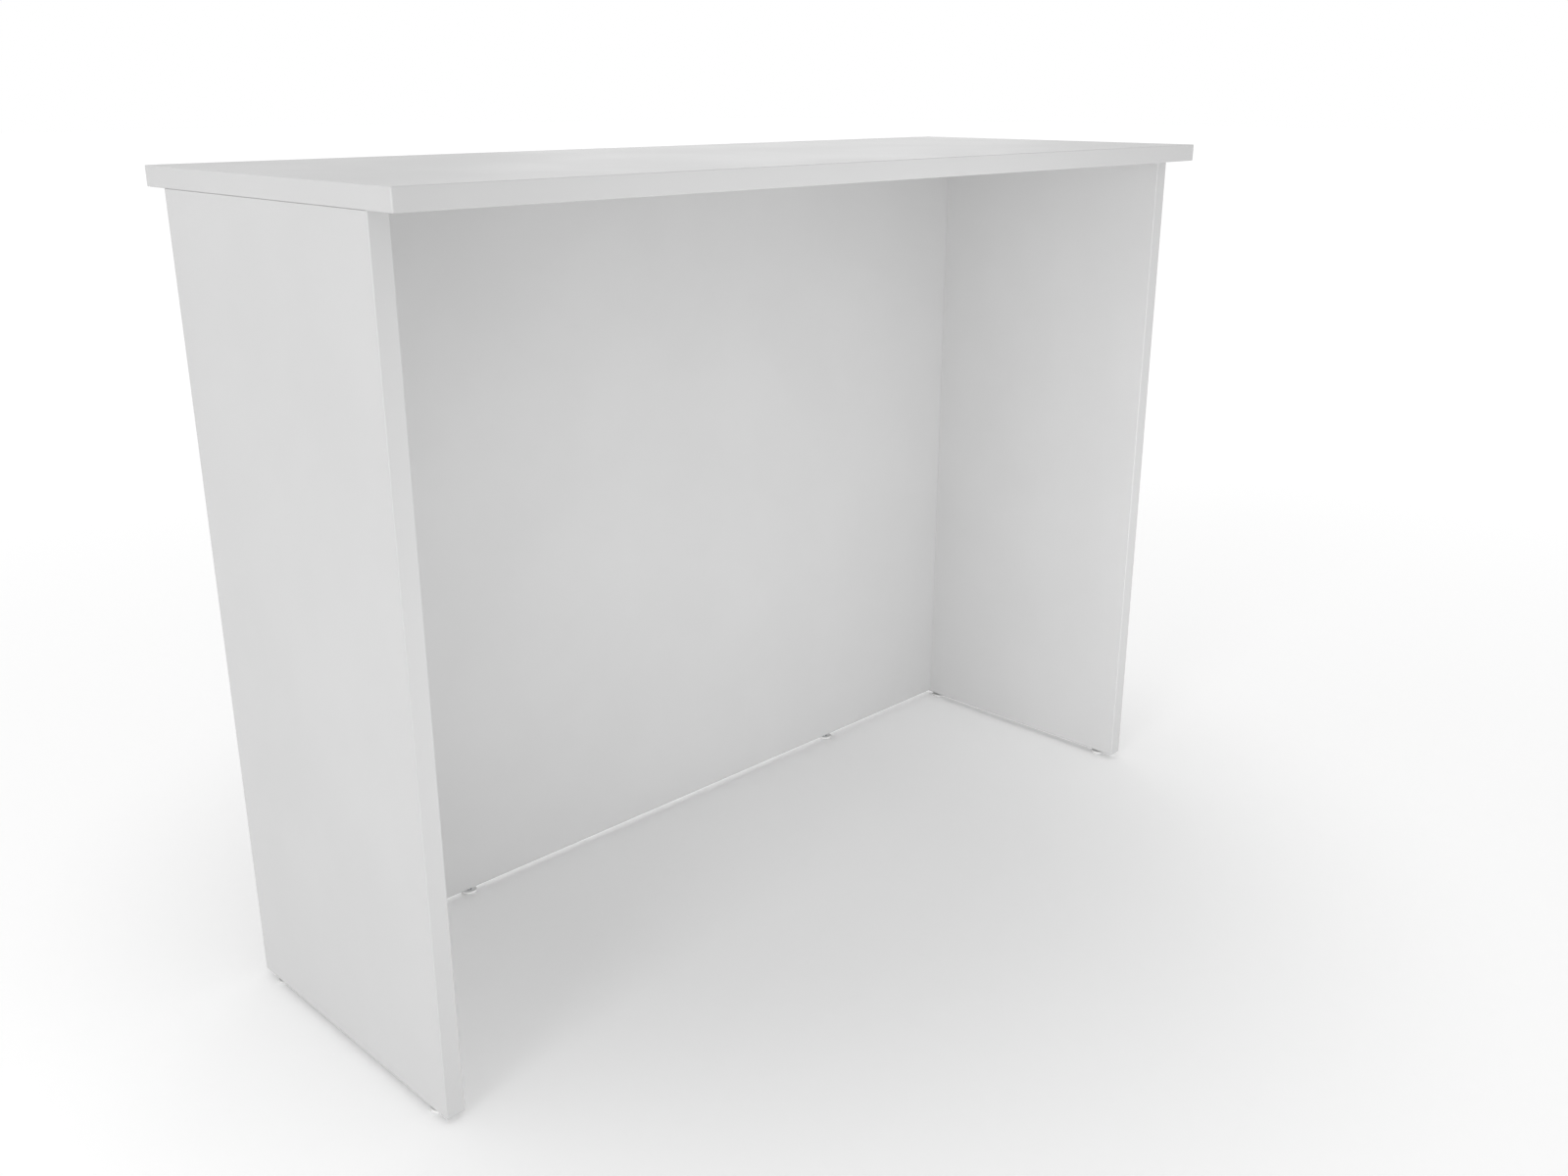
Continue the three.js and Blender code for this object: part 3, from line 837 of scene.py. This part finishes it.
# %% Outlines
def eased(*corners):
    """The points of an outline whose corners are (radius, height, rounding)."""
    points = []
    for i, (radius, height, rounding) in enumerate(corners):
        here = Vector((radius, height))
        if not rounding:
            points.append(here)
            continue
        before = (Vector(corners[i - 1][:2]) - here).normalized() * rounding
        after = (Vector(corners[i + 1][:2]) - here).normalized() * rounding
        for step in range(arc_steps + 1):
            share = step / arc_steps
            points.append(here + before * (1 - share) ** 2 + after * share**2)
    return [(x, z, 0.0, 0.0) for x, z in points]


def thread_rows(radius, low, high, pitch, crest, root):
    """Rows of a thread from low to high. The lowest lie one turn early, and the tree lifts them."""
    rows = []
    for turn in range(math.floor(low / pitch) - 2, math.ceil(high / pitch) + 2):
        for share in (-crest, crest, root, 1 - root):
            height = (turn + share) * pitch
            if low - 1.5 * pitch < height < high + 0.5 * pitch:
                rows.append((radius, height, 1.0, 0.0))
    return rows


def turn_on_lathe(outline, finish, **thread):
    """A blank with its outline, its own axis along Z, and the lathe's tree on it."""
    blank = make_blank(
        "lathe_blank",
        [(point[0], 0, point[1]) for point in outline],
        threaded=[point[2] for point in outline],
        fluted=[point[3] for point in outline],
    )
    sizes = {"steps": round_steps, "pitch": 1 * MM, "crest_share": 0.0, "root_share": 0.5}
    sizes.update(thread)
    use_tree(blank, turned_piece, finish=finish, **sizes)
    return blank


print("a 10 mm thread has", len(thread_rows(0, 0, 10 * MM, 1 * MM, 0.1, 0.4)), "rows")

# %% [markdown]
# Cuts across a turned piece
#
# Two kinds of turned piece are cut again after the lathe. A foot screw gets two flats for an open
# spanner, milled across its neck. A cam is cast with a hollow that the bolt's head slides round in,
# a slot for the bolt's neck, and a cross for the screwdriver. Both trees take plain solids away.


# %% The trees of the two cuts
def cutting_tree(name, make_cutters, **inputs):
    """A tree that takes cutters away from a piece."""
    sketch, start, given = start_tree(name, **inputs, finish="finish")
    cutters = sketch.add("GeometryNodeJoinGeometry", values={0: make_cutters(sketch, given)})
    return end_tree(sketch, carved(sketch, start, cutters), [(True, given["finish"])])


def block(sketch, size, place):
    return moved(sketch, sketch.add("GeometryNodeMeshCube", values={"Size": size}), place)


def flat_cutters(sketch, given):
    low, high, reach = given["flats_low"], given["flats_high"], given["reach"]
    size = sketch.point(reach, reach * 2, high - low)
    aside, level = (given["across_flats"] + reach) / 2, (high + low) / 2
    return [block(sketch, size, sketch.point(aside * side, 0.0, level)) for side in (-1, 1)]


wedge_start, wedge_sweep = math.radians(-190), math.radians(200)


def wedge_cutter(sketch, given, kind):
    """A wedge of a disc round the cam's axis, open to the way that the bolt comes from."""
    radius, width = given[kind + "_radius"], given[kind + "_width"]
    values = {
        "Resolution": given["hollow_steps"],
        "Radius": radius,
        "Start Angle": wedge_start,
        "Sweep Angle": wedge_sweep,
        "Connect Center": True,
    }
    arc = sketch.add("GeometryNodeCurveArc", {"mode": "RADIUS"}, values)
    disc = sketch.add("GeometryNodeFillCurve", {"mode": "NGONS"}, {"Curve": arc})
    values = {"Mesh": disc, "Offset": (0.0, 0.0, 1.0), "Offset Scale": width}
    raised = sketch.add("GeometryNodeExtrudeMesh", {"mode": "FACES"}, values)
    lower = sketch.add("GeometryNodeFlipFaces", values={"Mesh": disc})
    wedge = sketch.add("GeometryNodeJoinGeometry", values={0: [lower, raised]})
    place = sketch.point(0.0, 0.0, given["bolt_line"] - width / 2)
    return moved(sketch, welded(sketch, wedge), place)


def cam_cutters(sketch, given):
    length, width, depth = given["cross_length"], given["cross_width"], given["cross_depth"]
    return [
        wedge_cutter(sketch, given, "hollow"),
        wedge_cutter(sketch, given, "slot"),
        block(sketch, sketch.point(length, width, depth * 2), (0.0, 0.0, 0.0)),
        block(sketch, sketch.point(width, length, depth * 2), (0.0, 0.0, 0.0)),
    ]


flat_inputs = ("across_flats", "flats_low", "flats_high", "reach")
spanner_flats = cutting_tree("spanner_flats", flat_cutters, **dict.fromkeys(flat_inputs, "length"))
cam_inputs = ("hollow_radius", "hollow_width", "slot_radius", "slot_width", "bolt_line")
cam_inputs += ("cross_length", "cross_width", "cross_depth")
cam_cuts = cutting_tree(
    "cam_cuts", cam_cutters, hollow_steps="count", **dict.fromkeys(cam_inputs, "length")
)

# %% [markdown]
# Levelling feet
#
# A foot is a steel screw whose flat head is trapped in a round plastic pad. The pad stays still on
# the floor while a spanner on the neck's two flats turns the screw, and the counter rises or sinks
# by one pitch a turn. The pad and the screw are therefore two pieces on two bodies. The insert that
# the screw runs in stays with its panel. Its flange lies flush with the band, and three barbs keep
# it from being pulled out of the chipboard. Each of the three is turned once and then set in place
# six times.

# %% Outlines of a foot
screw_pitch = 1 * MM
screw_groove = 0.613 * MM  # the depth of an M6 thread
screw_crest, screw_root = 1 / 16, 3 / 8  # half widths of its crest and of its ridge, in pitches
screw_low, screw_high = 8.8 * MM, 27 * MM


def pad_outline():
    radius, height, sole = 12.5 * MM, 4 * MM, 1 * MM
    hollow, hollow_top, mouth = 7.3 * MM, 2.8 * MM, 4.3 * MM
    dish = height - 0.25 * MM
    fine = 0.12 * MM
    return eased(
        (0, 0, 0),
        (radius - 2.2 * MM, 0, 0.1 * MM),
        (radius - 2 * MM, 0.15 * MM, 0.1 * MM),
        (radius - 0.4 * MM, 0.15 * MM, 0.4 * MM),
        (radius, 0.9 * MM, 0.4 * MM),
        (radius, height - 1.3 * MM, 0.5 * MM),
        (radius - 1.2 * MM, height, 0.5 * MM),
        (mouth + 1.9 * MM, height, fine),
        (mouth + 1.6 * MM, dish, fine),
        (mouth, dish, fine),
        (mouth, hollow_top, fine),
        (hollow, hollow_top, fine),
        (hollow, sole, fine),
        (0, sole, 0),
    )


def foot_screw_outline():
    head, neck, core = 7 * MM, 4 * MM, screw_radius - screw_groove
    head_low, head_high, shoulder, tip = 1.3 * MM, 2.5 * MM, 8 * MM, 28 * MM
    fine = 0.15 * MM
    rows = thread_rows(screw_radius, screw_low, screw_high, screw_pitch, screw_crest, screw_root)
    return [
        *eased(
            (0, head_low, 0),
            (head, head_low, 0.3 * MM),
            (head, head_high, 0.3 * MM),
            (neck, head_high, 0.2 * MM),
            (neck, shoulder, 0.25 * MM),
            (core, shoulder, fine),
            (core, screw_low - screw_groove, 0),
            (screw_radius, screw_low, 0),
        ),
        *rows,
        *eased(
            (screw_radius, screw_high, 0),
            (core, tip - 0.3 * MM, fine),
            (core - 0.3 * MM, tip, fine),
            (0, tip, 0),
        ),
    ]


def insert_outline(low, high):
    """Up the outside from the flange, over the barbs, and down the threaded bore."""
    flange, body, bore = 7.5 * MM, 4.6 * MM, 3.5 * MM
    fine = 0.12 * MM
    outside = [
        (bore + low, 0, fine),
        (flange, 0, 0.25 * MM),
        (flange, insert_flange, 0.25 * MM),
        (body, insert_flange, fine),
    ]
    for barb in (3, 2, 1):
        height = insert_length - barb * 3.5 * MM
        outside += [(body, height, fine), (insert_barb_radius, height + fine, fine)]
    outside += [(body, insert_length, 0.2 * MM), (bore + low, insert_length, fine)]
    rows = thread_rows(bore, low, high, screw_pitch, screw_crest, screw_root)
    rim = eased((bore, low, 0), *outside, (bore, high, 0))
    return [*rim, *reversed(rows), rim[0]]


# %% The feet in place
thread = {"pitch": screw_pitch, "crest_share": screw_crest, "root_share": screw_root}
pad_mesh = finished_mesh(turn_on_lathe(pad_outline(), moulded_plastic))
screw_blank = turn_on_lathe(
    foot_screw_outline(),
    zinc_steel,
    groove_depth=screw_groove,
    thread_low=screw_low,
    thread_high=screw_high,
    **thread,
)
use_tree(
    screw_blank,
    spanner_flats,
    across_flats=7 * MM,
    flats_low=4.8 * MM,
    flats_high=7.2 * MM,
    reach=6 * MM,
    finish=zinc_steel,
)
screw_mesh = finished_mesh(screw_blank)
insert_low = 0.5 * MM
insert_high = insert_length - insert_low
insert_mesh = finished_mesh(
    turn_on_lathe(
        insert_outline(insert_low, insert_high),
        zinc_steel,
        groove_depth=0.4 * MM,
        thread_low=insert_low,
        thread_high=insert_high,
        **thread,
    )
)

for foot in feet:
    middle, size = size_of(foot + "_foot_pad")
    on_floor = middle - upwards * size.z / 2
    put_in_place("moulded", foot + "_foot_pad", pad_mesh, on_floor)
    put_in_place("threaded", foot + "_foot_screw", screw_mesh, on_floor)
    middle, size = size_of(foot + "_foot_insert")
    under_panel = middle - upwards * size.z / 2
    put_in_place("threaded", foot + "_foot_insert", insert_mesh, under_panel)

# %% [markdown]
# Cam connectors
#
# The top is held by five cams. A bolt with a coarse wood thread is screwed up into the top until
# its collar meets the board, and the top is lowered so that the bolt drops into its panel. Half a
# turn of the cam draws the bolt's head down. The cam is a zinc casting with a small rim at its
# face, and its hollow opens upwards, to where the bolt comes from.

# %% Cams and their bolts
bolt_pitch = 3 * MM
bolt_groove = 0.9 * MM
bolt_crest, bolt_root = 0.03, 0.3
bolt_low, bolt_high = 1 * MM, 9.6 * MM


def cam_bolt_outline():
    """From the head up, with the collar's face at height zero."""
    head, neck, shank, collar = 3.5 * MM, 2.2 * MM, 3 * MM, 3.7 * MM
    head_low, head_high, shank_low = -23.6 * MM, -21.2 * MM, -12 * MM
    core = bolt_thread_radius - bolt_groove
    fine = 0.15 * MM
    rows = thread_rows(bolt_thread_radius, bolt_low, bolt_high, bolt_pitch, bolt_crest, bolt_root)
    return [
        *eased(
            (0, head_low, 0),
            (head, head_low, 0.5 * MM),
            (head, head_high, 0.4 * MM),
            (neck, head_high, 0.3 * MM),
            (neck, shank_low, 0.3 * MM),
            (shank, shank_low + 0.8 * MM, 0.3 * MM),
            (shank, -1 * MM, fine),
            (collar, -1 * MM, fine),
            (collar, 0, fine),
            (core, 0, fine),
            (bolt_thread_radius, bolt_low, 0),
        ),
        *rows,
        *eased(
            (bolt_thread_radius, bolt_high, 0),
            (core * 0.7, bolt_thread_length - 0.3 * MM, fine),
            (core * 0.5, bolt_thread_length, fine),
            (0, bolt_thread_length, 0),
        ),
    ]


def cam_outline(length):
    rim, body = cam_radius, cam_radius - 0.15 * MM
    return eased(
        (0, 0, 0),
        (rim, 0, 0.2 * MM),
        (rim, 0.9 * MM, 0.1 * MM),
        (body, 1.1 * MM, 0.1 * MM),
        (body, length, 0.4 * MM),
        (0, length, 0),
    )


bolt_mesh = finished_mesh(
    turn_on_lathe(
        cam_bolt_outline(),
        zinc_steel,
        pitch=bolt_pitch,
        groove_depth=bolt_groove,
        crest_share=bolt_crest,
        root_share=bolt_root,
        thread_low=bolt_low,
        thread_high=bolt_high,
    )
)
cam_blank = turn_on_lathe(cam_outline(face_of_cam("front_middle")[1]), cast_zinc)
use_tree(
    cam_blank,
    cam_cuts,
    hollow_radius=5.4 * MM,
    hollow_width=7.6 * MM,
    slot_radius=cam_radius + past,
    slot_width=5 * MM,
    hollow_steps=round_steps // 2,
    bolt_line=board_thickness / 2,
    cross_length=7 * MM,
    cross_width=1.2 * MM,
    cross_depth=2.5 * MM,
    finish=cast_zinc,
)
cam_mesh = finished_mesh(cam_blank)

for cam in cams:
    inwards = way_into(cam)
    turn = (-quarter, 0, math.atan2(-inwards.x, inwards.y))
    put_in_place("cast", cam + "_cam", cam_mesh, face_of_cam(cam)[0], turn)
    middle = size_of(cam + "_cam_bolt")[0]
    under_top = Vector((middle.x, middle.y, underside))
    put_in_place("threaded", cam + "_cam_bolt", bolt_mesh, under_top)

# %% [markdown]
# Dowels
#
# Fourteen beech dowels line the boards up and carry the load across each joint. They are eight
# millimetres thick, with chamfered ends that find the bore and flutes that let the spare glue out.

# %% Dowels
dowel_flutes = 20
dowel_length = max(size_of(dowels[0])[1])
dowel_chamfer = 1 * MM


def dowel_outline():
    outline = eased(
        (0, 0, 0),
        (dowel_radius - dowel_chamfer, 0, 0.1 * MM),
        (dowel_radius, dowel_chamfer, 0.3 * MM),
        (dowel_radius, dowel_length - dowel_chamfer, 0.3 * MM),
        (dowel_radius - dowel_chamfer, dowel_length, 0.1 * MM),
        (0, dowel_length, 0),
    )
    return [(radius, z, 0.0, float(radius > dowel_radius / 2)) for radius, z, _, _ in outline]


dowel_mesh = finished_mesh(
    turn_on_lathe(
        dowel_outline(),
        beech,
        steps=6 * dowel_flutes,
        flutes=dowel_flutes,
        groove_depth=0.25 * MM,
        crest_share=0.15,
        root_share=0.45,
    )
)

for node in dowels:
    middle, size = size_of(node)
    upright = size.z > size.x
    along = upwards if upright else Vector((1, 0, 0))
    start = middle - along * dowel_length / 2
    turn = (0, 0 if upright else quarter, 0)
    put_in_place("fluted", node, dowel_mesh, start, turn)

# %% [markdown]
# Floor
#
# The counter stands in a plain white studio. The floor keeps the counter's shadow. Only where it is
# seen directly does it glow a little, as painted light: the glow starts a step away from the
# counter and grows outwards, so it runs into the white behind it without a line, and the floor next
# to the counter stays darker as painted shade. All other light meets a plain pale floor. The cell
# under the counter is an object of its own, because two of the lamps light nothing but it and the
# feet.

# %% Floor
def seen_directly(sketch):
    """One where the camera looks, also in a mirror or through glass, and zero for other light."""
    path = sketch.add("ShaderNodeLightPath")
    mirrored = path.output("Is Glossy Ray").math("MAXIMUM", path.output("Is Transmission Ray"))
    return path.output("Is Camera Ray").math("MAXIMUM", mirrored)


def floor_finish():
    finish = Finish("studio_floor")
    seen = seen_directly(finish)
    away = finish.place.vector("LENGTH").output("Value")
    # painted glow for direct views: none near the counter and more further out, so the floor beside
    # the counter stays darker as painted shade
    painted_glow = seen * (away.ramp(0.3, 1.2, 0.0, 0.2) + away.ramp(0.8, 6.0, 0.0, 0.15))
    others = {
        "Specular IOR Level": 0.0,
        "Emission Color": finish.mix(painted_glow, (0.0, 0.0, 0.0), (1.0, 1.0, 1.0)),
        "Emission Strength": 1.0,
    }
    colour = finish.mix(seen, (0.9, 0.9, 0.9), (1.0, 1.0, 1.0))
    return finish.surface(colour, 0.9, others=others)


studio_floor = floor_finish()
floor_reach = 40.0
under_left, under_right, under_staff, under_visitor = -0.72, 0.72, -0.225, 0.221
floor_lines_x = [-floor_reach, under_left, under_right, floor_reach]
floor_lines_y = [-floor_reach, under_staff, under_visitor, floor_reach]
corners = [(x, y, 0.0) for y in floor_lines_y for x in floor_lines_x]
cell_under_counter = 4


def lay_floor(name, is_part):
    """The cells of the floor for which is_part says yes to their number, from 0 to 8."""
    cells = [(i, i + 1, i + 5, i + 4) for i in (0, 1, 2, 4, 5, 6, 8, 9, 10)]
    mesh = bpy.data.meshes.new(name)
    mesh.from_pydata(corners, [], [cell for n, cell in enumerate(cells) if is_part(n)])
    mesh.materials.append(studio_floor)
    part = bpy.data.objects.new(name, mesh)
    bpy.context.scene.collection.objects.link(part)
    return part


floor_around = lay_floor("floor_around", lambda number: number != cell_under_counter)
floor_under = lay_floor("floor_under", lambda number: number == cell_under_counter)
print("the floor has", len(floor_around.data.polygons) + len(floor_under.data.polygons), "cells")

# %% [markdown]
# Light
#
# An even sky gives most of the light, at a level where a colour looks as it is written, and three
# weak lamps even out the top and the sides. The hollow would still be too dark: two faint lamps
# before it light the counter alone, so that the floor keeps its shadow. Two lamps shine through the
# gaps under the front panel and the right panel as daylight would. They are tall, so that their
# light fades softly, and they light only the feet and the floor under the counter, so that they
# leave no patch beside it. From behind, a thin light line along the gap still shows them. A last
# lamp takes some gloom from the feet alone.

# %% Light
sky_grey, seen_white = (0.71, 0.71, 0.71), (1.0, 1.0, 1.0)
world = bpy.data.worlds.new("studio")
bpy.context.scene.world = world
world.use_nodes = True
sky = Sketch(world.node_tree)
sky.tree.nodes.clear()
sky_level = sky.mix(seen_directly(sky), sky_grey, seen_white)
background = sky.add("ShaderNodeBackground", values={"Color": sky_level, "Strength": 1.0})
sky.add("ShaderNodeOutputWorld", values={"Surface": background})

counter_pieces = bpy.data.collections.new("counter_pieces")
under_counter = bpy.data.collections.new("under_counter")
feet_pieces = bpy.data.collections.new("feet_pieces")
under_counter.objects.link(floor_under)
for piece in bpy.data.objects:
    if piece.type == "MESH" and not piece.name.startswith("floor_"):
        counter_pieces.objects.link(piece)
    if piece.name.endswith(("_foot_pad", "_foot_screw")):
        under_counter.objects.link(piece)
        feet_pieces.objects.link(piece)


def hang_lamp(name, place, aim, size, power, lights=None):
    """A lamp of this width and height, for everything or for what is in one collection."""
    light = bpy.data.lights.new(name, "AREA")
    light.shape = "RECTANGLE"
    light.size, light.size_y = size
    light.energy = power
    lamp = bpy.data.objects.new(name, light)
    lamp.location = place
    lamp.rotation_euler = (Vector(aim) - Vector(place)).to_track_quat("-Z", "Y").to_euler()
    lamp.visible_camera = False
    lamp.light_linking.receiver_collection = lights
    bpy.context.scene.collection.objects.link(lamp)


middle_of_counter, back_of_hollow = (0.0, 0.0, 0.5), (0.45, 0.2, 0.4)
gap_front, gap_right, between_feet = (0.0, 0.24, 0.0), (0.72, 0.0, 0.0), (0.1, 0.0, 0.0)
for lamp in (
    # name, place, aim, width and height, watts, what it lights
    ("lamp_behind", (3.5, 3.5, 2.4), middle_of_counter, (2.5, 2.5), 12),
    ("lamp_left", (-3.8, -1.2, 0.9), middle_of_counter, (1.2, 1.2), 31),
    ("lamp_over", (-0.8, -0.2, 3.6), middle_of_counter, (2.0, 2.0), 3),
    ("lamp_hollow_left", (-0.3, -0.9, 0.5), back_of_hollow, (0.8, 0.8), 2.3, counter_pieces),
    ("lamp_hollow_right", (0.2, -0.75, 0.45), back_of_hollow, (0.6, 0.6), 1.8, counter_pieces),
    ("lamp_gap_front", (0.0, 0.9, 0.4), gap_front, (1.3, 0.45), 5, under_counter),
    ("lamp_gap_right", (1.4, 0.0, 0.45), gap_right, (0.4, 0.34), 3, under_counter),
    ("lamp_feet", (-1.0, -1.4, 0.4), between_feet, (1.0, 0.5), 14, feet_pieces),
):
    hang_lamp(*lamp)

# %% [markdown]
# Camera
#
# The picture is taken from the staff side, past the left panel. The camera's place, direction and
# focal length were fitted to the lines of the counter's edges in the photo.

# %% Camera
focal_length, sensor_width = 33.735, 36.0  # in millimetres, as lenses are sold
camera_turn = (71.107, -0.012, -45.16)  # in degrees, 90 first would be level
camera_data = bpy.data.cameras.new("camera")
camera_data.lens = focal_length
camera_data.sensor_width = sensor_width
camera = bpy.data.objects.new("camera", camera_data)
camera.location = (-1.4725, -1.5368, 1.1774)
camera.rotation_euler = [math.radians(angle) for angle in camera_turn]
bpy.context.scene.collection.objects.link(camera)
bpy.context.scene.camera = camera
bpy.context.scene.view_settings.view_transform = "Standard"
print("focal length:", camera_data.lens, "mm")
